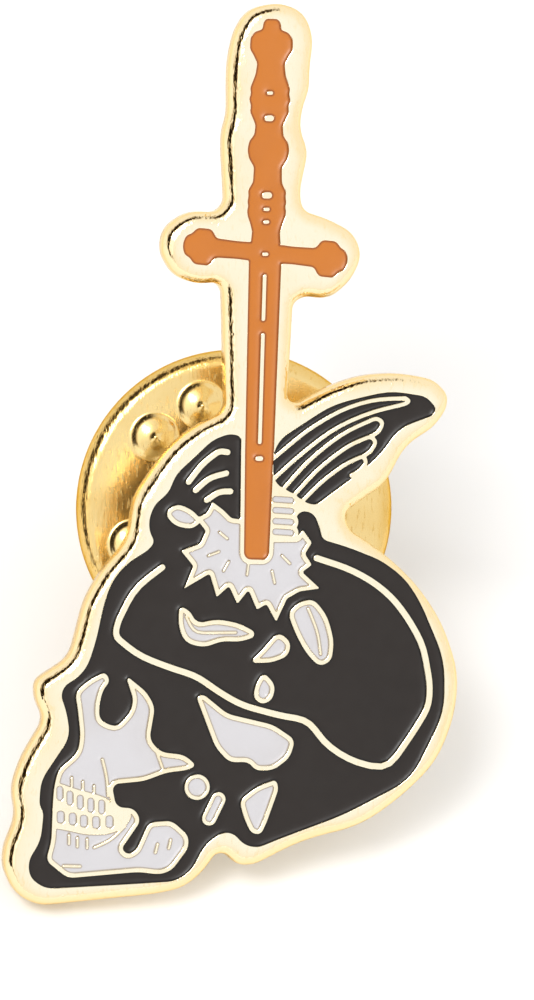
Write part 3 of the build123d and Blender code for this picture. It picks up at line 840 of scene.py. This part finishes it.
@dataclass
class Post(Dresser):
    """Pointed nail with a flat head and three grip notches, and the ring of solder round its head."""

    radius: float = 0.55
    length: float = 8.0
    notches: tuple[float, ...] = (3.3, 4.8, 6.3)
    notch_radius: float = 0.45
    notch_half: float = 0.3
    head_radius: float = 1.25
    head_top: float = 0.3
    seat: float = 0.15
    taper: float = 0.9

    def build(self) -> bpy.types.Object:
        """Makes the nail, a rounded profile turned about the axis; the point is a blunt cone."""
        shaft, head, end = self.radius, self.head_radius, self.length
        side = [(0.0, -self.seat), (head, -self.seat), (head, self.head_top), (shaft, self.head_top + 0.06)]
        for y in self.notches:
            side += [(shaft, y - self.notch_half), (self.notch_radius, y), (shaft, y + self.notch_half)]
        side += [(shaft, end - self.taper), (0.16, end - 0.12), (0.1, end), (0.0, end)]
        piece = make_piece("post_nail", *turned(rounded(side, 0.09, 5, False), 64, False), 50)
        return self.dress(piece, POST_GOLD, "post")

    def build_weld(self) -> bpy.types.Object:
        """Makes the solder ring: a turned fillet whose height wavers by 0.012 sin 5a + 0.009 sin (9a + 1)."""
        side = rounded([(1.25, -0.14), (1.39, -0.14), (1.4, 0.0), (1.34, 0.07), (1.25, 0.1)], 0.05, 5)
        points, faces = turned(side, 96)
        angle = np.arctan2(points[:, 2], points[:, 0])
        lift = np.clip(points[:, 1] / 0.1, 0, 1)
        points[:, 1] += lift * (0.012 * np.sin(5 * angle) + 0.009 * np.sin(9 * angle + 1))
        piece = make_piece("post_solder", points, faces, 60)
        return self.dress(piece, WELD_METAL, "post_weld")


# ---- the butterfly clutch ----


@dataclass
class Eyelet(Dresser):
    """Flanged tube that runs on the post and holds disc and cup together."""

    front: float = 3.25
    bore: float = 0.6
    tube: float = 0.85

    def build(self) -> bpy.types.Object:
        """Makes the eyelet, a rounded ring profile turned about the axis."""
        side = [
            (self.bore, self.front + 0.1), (self.bore + 0.1, self.front), (1.25, self.front), (1.25, 3.43),
            (self.tube, 3.43), (self.tube, 4.05), (1.15, 4.05), (1.1, 4.21), (self.bore, 4.21),
        ]  # fmt: skip
        piece = make_piece("eyelet_rivet", *turned(rounded(side, 0.07, 4), 72), 50)
        return self.dress(piece, CLUTCH_GOLD, "clutch_eyelet")


@dataclass
class ClutchDisc(Dresser):
    """Pressed disc with its edge rolled back and eight raised points."""

    floor: float = 3.45
    sheet: float = 0.28
    bore: float = 0.88
    radius: float = 5.75
    roll: float = 0.6
    edge_band: float = 0.65
    steps: int = 420
    point_pitch: float = 3.95
    angles: tuple[float, ...] = (18.4, 48.4, 108.4, 138.4, 198.4, 228.4, 288.4, 318.4)
    point: tuple[tuple[float, float], ...] = (
        (0.0, 0.52), (0.07, 0.5), (0.15, 0.4), (0.3, 0.32), (0.5, 0.24), (0.7, 0.15), (0.88, 0.0),
    )  # fmt: skip

    def build(self) -> bpy.types.Object:
        """Makes the disc.

        Formula: a ring profile is turned about the axis, then every point moves toward -y by the
        pressed point's height at its distance from the nearest point's centre; the back of the
        sheet uses the same curve drawn in by 0.2.

        Returns:
            The piece.
        """
        profile, rows = self._profile()
        angle = np.linspace(0, math.tau, self.steps, endpoint=False)[None]
        r, y = profile[:, :1], profile[:, 1:]
        x, z = r * np.cos(angle), r * np.sin(angle)
        turn = np.radians(self.angles)
        centres = self.point_pitch * np.stack((np.cos(turn), np.sin(turn)), -1)
        gap = np.sqrt((x[..., None] - centres[:, 0]) ** 2 + (z[..., None] - centres[:, 1]) ** 2).min(-1)
        behind = (np.arange(len(profile)) >= rows)[:, None]
        height = np.where(behind, self._height(gap + 0.2), self._height(gap))
        points = np.stack((x, y - height, z), -1).reshape(-1, 3)
        inset = self.radius - np.hypot(points[:, 0], points[:, 2])
        # edge value near the rim: it deepens the gold there as a painted reflection, and roughens the relief
        edge = np.clip(1 - inset / self.edge_band, 0, 1)
        faces = grid_faces(len(profile), self.steps, True, True)
        piece = make_piece("clutch_pad", points, faces, 60, edge=edge)
        return self.dress(piece, CLUTCH_GOLD, "clutch_disc")

    def _height(self, gap: Array) -> Array:
        """Height of a pressed point at a distance from its centre, its corners softened."""
        at = np.linspace(0, 1.3, 261)
        curve = np.interp(at, *zip(*self.point), right=0.0)
        kernel = np.exp(-0.5 * (np.linspace(-2.5, 2.5, 25)) ** 2)
        mirrored = np.concatenate((curve[:0:-1], curve, np.zeros(40)))
        soft = np.convolve(mirrored, kernel / kernel.sum(), "same")[260 : 260 + 261]
        return np.interp(gap, at, soft, right=0.0)

    def _profile(self) -> tuple[Array, int]:
        """Ring profile of (r, y) points, and how many of them are on the front.

        Formula: the flat face runs out to the roll's start; the roll is a quarter circle of the
        roll radius outside and of that less the sheet inside.
        """
        start = self.radius - self.roll
        flat = np.linspace(self.bore, start, 62)[:-1]
        turn = np.linspace(0, math.pi / 2, 13)[:, None]
        quarter = np.concatenate((np.sin(turn), 1 - np.cos(turn)), 1)
        outer = (start, self.floor) + self.roll * quarter
        inner = (start, self.floor + self.sheet) + (self.roll - self.sheet) * quarter[::-1]
        lip = [(self.radius - 0.08, outer[-1, 1] + 0.06), (self.radius - 0.2, outer[-1, 1] + 0.06)]
        face = np.stack((flat, np.full(len(flat), self.floor)), -1)
        rear = np.stack((flat[::-1], np.full(len(flat), self.floor + self.sheet)), -1)
        return np.concatenate((face, outer, lip, inner, rear)), len(flat) + len(outer)


@dataclass
class SpringCup(Dresser):
    """Cup with a flat foot, two windows for the wire and a curled channel for each wing."""

    foot: float = 3.75
    sheet: float = 0.28
    bore: float = 0.88
    foot_radius: float = 2.95
    radius: float = 1.9
    top: float = 9.1
    window: tuple[float, float] = (1.2, 0.525)
    window_y: float = 6.3
    columns: int = 120
    knuckle: tuple[float, float] = (2.95, 4.42)
    knuckle_radii: tuple[float, float] = (0.31, 0.53)
    knuckle_half: float = 2.1

    def build(self) -> bpy.types.Object:
        """Makes the cup and its channels in one piece."""
        piece = make_piece("spring_cup", *joined(self._cup(), self._channel(1), self._channel(-1)), 45)
        return self.dress(piece, CLUTCH_GOLD, "clutch_housing")

    def _wall(self, radius: float) -> Array:
        """A straight wall's rows, from the foot up, with rows on the window's two edges."""
        low, high = self.window_y - self.window[1], self.window_y + self.window[1]
        y = np.concatenate(([low - 0.9, low - 0.3], np.linspace(low, high, 5), [high + 0.3, high + 0.9]))
        return np.stack((np.full(len(y), radius), y), -1)

    def _cup(self) -> tuple[Array, Array]:
        """The cup's shell.

        Formula: a profile from the axis, down the inside, round the foot and up the outside is
        turned about the axis. At column share t the angle is 360t + (a - 36) w(t), where
        sin a = half window / r and w is a zigzag that is 1 or -1 at the window's edges, so the
        window's sides stay upright on both walls. Squares in the windows are left out, and the
        two walls are joined round each opening.

        Returns:
            Points and faces.
        """
        inside, outside, top, foot = self.radius - self.sheet, self.radius, self.top, self.foot
        low, high, over = 4.8, 7.8, foot + self.sheet
        inner, outer = self._wall(inside)[::-1], self._wall(outside)
        roof_line = [(0, top - self.sheet), (1.43, top - self.sheet), (inside, top - 0.47), (inside, high)]
        sole_line = [
            (inside, low), (inside, over), (self.bore, over), (self.bore, foot),
            (self.foot_radius, foot), (self.foot_radius, over), (outside, over), (outside, low),
        ]  # fmt: skip
        crown_line = [(outside, high), (outside, top - 0.35), (outside - 0.35, top), (0, top)]
        roof, sole = rounded(roof_line, 0.25, 5, False), rounded(sole_line, 0.1, 5, False)
        crown = rounded(crown_line, 0.4, 7, False)
        profile = np.concatenate((roof[:-1], inner, sole[1:-1], outer, crown[1:]))
        share = np.arange(self.columns) / self.columns
        zigzag = np.interp(share, (0, 0.1, 0.4, 0.6, 0.9, 1), (0, 1, -1, 1, -1, 0))
        r, y = profile[:, :1], profile[:, 1:]
        half = np.arcsin(np.clip(self.window[0] / np.maximum(r, inside), 0, 1))
        angle = math.tau * share + (half - math.radians(36)) * zigzag
        points = np.stack((r * np.cos(angle), y + 0 * angle, r * np.sin(angle)), -1).reshape(-1, 3)
        first_in, first_out = len(roof) + 1, len(roof) - 1 + len(inner) + len(sole)
        faces = self._with_windows(len(profile), first_in, first_out)
        return welded(points, faces)

    def _with_windows(self, rows: int, inner: int, outer: int) -> Array:
        """Grid faces without the windows, plus the strips round each opening.

        Args:
            rows: rows of the profile.
            inner: first window row on the inner wall, the window's top edge.
            outer: first window row on the outer wall, the window's bottom edge.

        Returns:
            Triangles.
        """
        cols = self.columns
        faces = grid_faces(rows, cols, False, True)
        row, col = faces.min(1) // cols, faces % cols
        left = np.where(col.max(1) - col.min(1) > 1, cols - 1, col.min(1))
        shut = (left + cols // 10) % cols < cols // 5
        shut |= (left >= 2 * cols // 5) & (left < 3 * cols // 5)
        opening = shut & (((row >= inner) & (row < inner + 4)) | ((row >= outer) & (row < outer + 4)))
        strips = [faces[~opening]]
        steps = np.arange(5)
        up, down = (outer + steps) * cols, (inner + 4 - steps) * cols
        for start in (-cols // 10, 2 * cols // 5):
            across = np.arange(start, start + cols // 5 + 1) % cols
            sills = [(up[k] + across, down[k] + across) for k in (0, -1)]
            sides = [(up + c, down + c) for c in (across[0], across[-1])]
            for a, b in (*sills, *sides):
                strips.append(np.stack((a[:-1], a[1:], b[1:]), -1))
                strips.append(np.stack((a[:-1], b[1:], b[:-1]), -1))
        return np.concatenate(strips)

    def _channel(self, side: int) -> tuple[Array, Array]:
        """A wing's channel: a C-shaped section drawn along x, with flat ends.

        Args:
            side: 1 for the upper wing, -1 for the lower.

        Returns:
            Points and faces.
        """
        turn = np.radians(np.linspace(126, 394, 34))
        radii = np.array(self.knuckle_radii)[:, None]
        out, up = radii * np.cos(turn), radii * np.sin(turn)
        ring = np.concatenate((np.stack((out[1], up[1]), -1), np.stack((out[0], up[0]), -1)[::-1]))
        count, x = len(ring), np.linspace(-self.knuckle_half, self.knuckle_half, 9)
        z, y = side * (self.knuckle[0] + ring[:, 0]), self.knuckle[1] + ring[:, 1]
        points = np.stack(np.broadcast_arrays(x[:, None], y[None], z[None]), -1).reshape(-1, 3)
        step = np.arange(count // 2 - 1)
        cap = np.concatenate((
            np.stack((step, step + 1, count - 2 - step), -1),
            np.stack((step, count - 2 - step, count - 1 - step), -1),
        ))  # fmt: skip
        faces = np.concatenate((grid_faces(9, count, False, True), cap, cap + 8 * count))
        return points, faces


@dataclass
class JawSpring(Dresser):
    """Bent wire whose legs grip the post's notches and whose hooked ends pass through the wings."""

    wire: float = 0.2
    path: tuple[tuple[float, float, float], ...] = (
        (2.3, 6.54, -4.15), (2.3, 6.54, 0.68), (0.8, 6.3, 0.68), (-2.3, 6.3, 0.68),
        (-2.3, 6.3, -0.68), (0.8, 6.3, -0.68), (2.3, 6.06, -0.68), (2.3, 6.06, 4.05),
    )  # fmt: skip

    def build(self) -> bpy.types.Object:
        """Makes the spring, a round wire swept along its rounded path."""
        line = rounded(list(self.path), 0.42, 9, False)
        piece = make_piece("jaw_wire", *swept(line, self.wire), 60)
        return self.dress(piece, SPRING_WIRE, "clutch_spring")


@dataclass
class WingEar(Dresser):
    """Flared ear on a round bead, with a hole for the wire's hook."""

    side: int = 1
    hook_y: float = 6.06
    pivot: tuple[float, float] = (2.95, 4.42)
    lean: float = 75.0
    sheet: float = 0.28
    bead: float = 0.28
    bead_half: float = 2.05
    tip: float = 5.26
    halves: tuple[float, float, float] = (2.05, 2.7, 1.99)
    curl: float = 0.4
    curl_start: float = 3.9
    hook: tuple[float, float] = (2.3, 0.34)
    edge_round: float = 0.1
    pitch: float = 0.22

    def build(self, name: str, node: str) -> bpy.types.Object:
        """Makes the ear and its bead.

        Formula: a flat slab between outline and hook hole has half thickness h less a rounded
        edge drop; place (s, x) on it goes to pivot + s U + (curl term + offset) N, where U leans
        outward, N is its normal, and the curl term is -curl q^2 with q from 0 at the curl's start
        to 1 at the tip.

        Args:
            name: piece name.
            node: CAD node it stands for.

        Returns:
            The piece.
        """
        foot, wide, narrow = self.halves
        half = [(-0.1, foot), (0.9, foot), (1.4, wide), (4.2, wide), (self.tip, narrow)]
        corners = [(s, -x) for s, x in half] + [(s, x) for s, x in reversed(half)]
        rim = resampled(rounded(corners, 0.55, 8), 0.08)
        turn = np.linspace(0, math.tau, 40, endpoint=False)
        along = (self.hook_y - self.pivot[1]) / math.sin(math.radians(self.lean))
        stretch = self.hook[1] / math.sin(math.radians(self.lean))
        hole = np.stack((along + stretch * np.cos(turn), self.hook[0] - self.hook[1] * np.sin(turn)), -1)
        flat, faces = spread([rim, hole], [edge_rings(self.edge_round, 3)] * 2, self.pitch)
        gap, _ = nearest(flat, [rim, hole])
        lift = self.sheet / 2 - edge_drop(gap, self.edge_round)
        points = np.concatenate((self._placed(flat, lift), self._placed(flat, -lift)))
        slab = points, np.concatenate((faces, faces[:, ::-1] + len(flat), rim_walls(faces, len(flat))))
        piece = make_piece(name, *welded(*joined(slab, self._bead())), 45)
        return self.dress(piece, CLUTCH_GOLD, node)

    def _placed(self, flat: Array, lift: Array) -> Array:
        """Places on the flat slab carried onto the leaning, curled ear."""
        lean = math.radians(self.lean)
        bend = np.clip((flat[:, 0] - self.curl_start) / (self.tip - self.curl_start), 0, 1)
        off = lift - self.curl * bend**2
        out = self.pivot[0] + flat[:, 0] * math.cos(lean) - off * math.sin(lean)
        up = self.pivot[1] + flat[:, 0] * math.sin(lean) + off * math.cos(lean)
        return np.stack((flat[:, 1], up, self.side * out), -1)

    def _bead(self) -> tuple[Array, Array]:
        """The round bead along the foot, a profile turned about its own line."""
        half = self.bead_half
        end = [(0, -half), (self.bead, -half), (self.bead, half), (0, half)]
        points, faces = turned(rounded(end, self.edge_round, 4, False), 32, False)
        x, y, z = points[:, 1], points[:, 0] + self.pivot[1], points[:, 2] + self.side * self.pivot[0]
        return np.stack((x, y, z), -1), faces


# ---- the room ----


@dataclass
class Studio:
    """Camera, soft light, pale surroundings and the sheet that the pin rests against."""

    target: tuple[float, float, float] = (0.514, -1.6, 0.536)
    turn: float = -7.0
    rise: float = 2.4
    distance: float = 400.0
    half_height: float = 17.857
    sensor: float = 36.0
    floor_tilt: float = 45.0
    floor_y: float = 0.25
    floor_z: float = -13.6
    floor_size: float = 400.0
    key_place: tuple[float, float, float] = (-0.15, -0.36, 0.15)
    key_energy: float = 0.75
    key_size: float = 0.16

    def build(self) -> None:
        """Sets up everything around the object."""
        self._camera()
        self._key()
        self._floor()
        self._surroundings()
        bpy.context.scene.view_settings.view_transform = "Standard"
        LOG.info("studio ready")

    def _away(self) -> Vector:
        """Unit direction from the target to the camera."""
        turn, rise = math.radians(self.turn), math.radians(self.rise)
        return Vector((math.sin(turn) * math.cos(rise), -math.cos(turn) * math.cos(rise), math.sin(rise)))

    def _camera(self) -> None:
        """Long lens from the front, a little to the left and above."""
        data = bpy.data.cameras.new("camera")
        data.sensor_width = self.sensor
        data.lens = self.sensor / 2 * self.distance / self.half_height
        data.clip_start, data.clip_end = 0.01, 10.0
        camera = bpy.data.objects.new("camera", data)
        away = self._away()
        camera.location = (Vector(self.target) + away * self.distance) * MM
        camera.rotation_euler = (-away).to_track_quat("-Z", "Y").to_euler()
        bpy.context.scene.collection.objects.link(camera)
        bpy.context.scene.camera = camera

    def _key(self) -> None:
        """Soft square light at the upper left."""
        data = bpy.data.lights.new("key", "AREA")
        data.energy, data.size = self.key_energy, self.key_size
        key = bpy.data.objects.new("key", data)
        place = Vector(self.key_place)
        key.location = place
        key.rotation_euler = (-place).to_track_quat("-Z", "Y").to_euler()
        bpy.context.scene.collection.objects.link(key)

    def _floor(self) -> None:
        """Pale sheet behind the pin, through the plate's chin and the tips of the wings."""
        tilt, half = math.radians(self.floor_tilt), self.floor_size / 2
        u = np.array((1.0, 0.0, 0.0))
        v = np.array((0.0, math.sin(tilt), math.cos(tilt)))
        origin = np.array((0.0, self.floor_y, self.floor_z))
        signs = np.array(((-1, -1), (1, -1), (1, 1), (-1, 1)))
        corners = origin + half * (signs[:, :1] * u + signs[:, 1:] * v)
        mesh = bpy.data.meshes.new("floor")
        mesh.from_pydata((corners * MM).tolist(), [], [(0, 1, 2, 3)])
        floor = bpy.data.objects.new("floor", mesh)
        bpy.context.scene.collection.objects.link(floor)
        material, g, shader = begin_material("floor_paper")
        shader.inputs["Base Color"].default_value = (0.98, 0.98, 0.98, 1)
        shader.inputs["Roughness"].default_value = 0.9
        shader.inputs["Specular IOR Level"].default_value = 0.0
        clear = g.add("ShaderNodeBsdfTransparent").outputs[0]
        behind = g.add("ShaderNodeNewGeometry").outputs["Backfacing"]
        both = g.add("ShaderNodeMixShader", i0=behind, i1=shader.outputs[0], i2=clear)
        g.feed(g.tree.nodes["Material Output"], Surface=both.outputs[0])
        mesh.materials.append(material)

    def _surroundings(self) -> None:
        """Plain white to the camera; to the object, white with a dark screen at the left.

        Formula: the screen's mask is a smooth band of the direction's y, times a smooth ramp of
        how far the direction leans to the upper left; a wider band round it is warm brown, and a
        bright panel stands in front of both.
        """
        world = bpy.data.worlds.new("surroundings")
        bpy.context.scene.world = world
        world.use_nodes = True
        tree = world.node_tree
        tree.nodes.clear()
        g = Graph(tree)
        way = g.add("ShaderNodeTexCoord").outputs["Generated"]
        y = g.add("ShaderNodeSeparateXYZ", i0=way).outputs[1]
        upper_left = (-0.87, 0.0, 0.49)
        left = g.add("ShaderNodeVectorMath", operation="DOT_PRODUCT", i0=way, i1=upper_left).outputs["Value"]
        leans = g.ramp(left, 0.25, 0.6)
        off = g.math("ABSOLUTE", g.math("SUBTRACT", y, -0.3))
        glow = g.math("MULTIPLY", g.ramp(off, 0.2, 0.42, 1.0, 0.0), leans)
        core = g.math("MULTIPLY", g.ramp(off, 0.16, 0.27, 1.0, 0.0), leans)
        panel_off = g.math("ABSOLUTE", g.math("SUBTRACT", y, -0.74))
        panel = g.math("MULTIPLY", g.ramp(panel_off, 0.05, 0.2, 1.0, 0.0), leans)
        pale = g.mix(panel, (1.06, 1.06, 1.06, 1), (1.4, 1.4, 1.4, 1))
        warm = g.mix(glow, pale, (0.5, 0.36, 0.17, 1))
        seen = g.mix(core, warm, (0.012, 0.007, 0.003, 1))
        lit = g.add("ShaderNodeBackground", Color=seen, Strength=1.0).outputs[0]
        plain = g.add("ShaderNodeBackground", Color=(1, 1, 1, 1), Strength=1.0).outputs[0]
        camera = g.add("ShaderNodeLightPath").outputs["Is Camera Ray"]
        both = g.add("ShaderNodeMixShader", i0=camera, i1=lit, i2=plain).outputs[0]
        g.add("ShaderNodeOutputWorld", Surface=both)


PIGMENTS: dict[str, EnamelFinish] = {
    "enamel_sword": ORANGE_ENAMEL,
    "enamel_skull_ground": BLACK_ENAMEL,
    "enamel_wing_field": BLACK_ENAMEL,
    "enamel_wing_feathers": BLACK_ENAMEL,
}


def main() -> None:
    """Builds the pin piece by piece, then the studio round it."""
    logging.basicConfig(level=logging.INFO, format="%(name)s: %(message)s")
    art = Artwork()
    LOG.info("%d cell groups read", len(art.cells))
    StruckPlate(Body.PIN).build(art)
    for node, loops in art.cells.items():
        EnamelFill(Body.PIN).build(node, loops, PIGMENTS.get(node, WHITE_ENAMEL))
    post = Post(Body.PIN)
    post.build()
    post.build_weld()
    Eyelet(Body.COLLAR).build()
    ClutchDisc(Body.CLUTCH).build()
    SpringCup(Body.CLUTCH).build()
    JawSpring(Body.CLUTCH).build()
    WingEar(Body.UPPER_WING, side=1, hook_y=6.06).build("upper_ear", "clutch_wing_upper")
    WingEar(Body.LOWER_WING, side=-1, hook_y=6.54).build("lower_ear", "clutch_wing_lower")
    Studio().build()


if __name__ == "__main__":
    main()
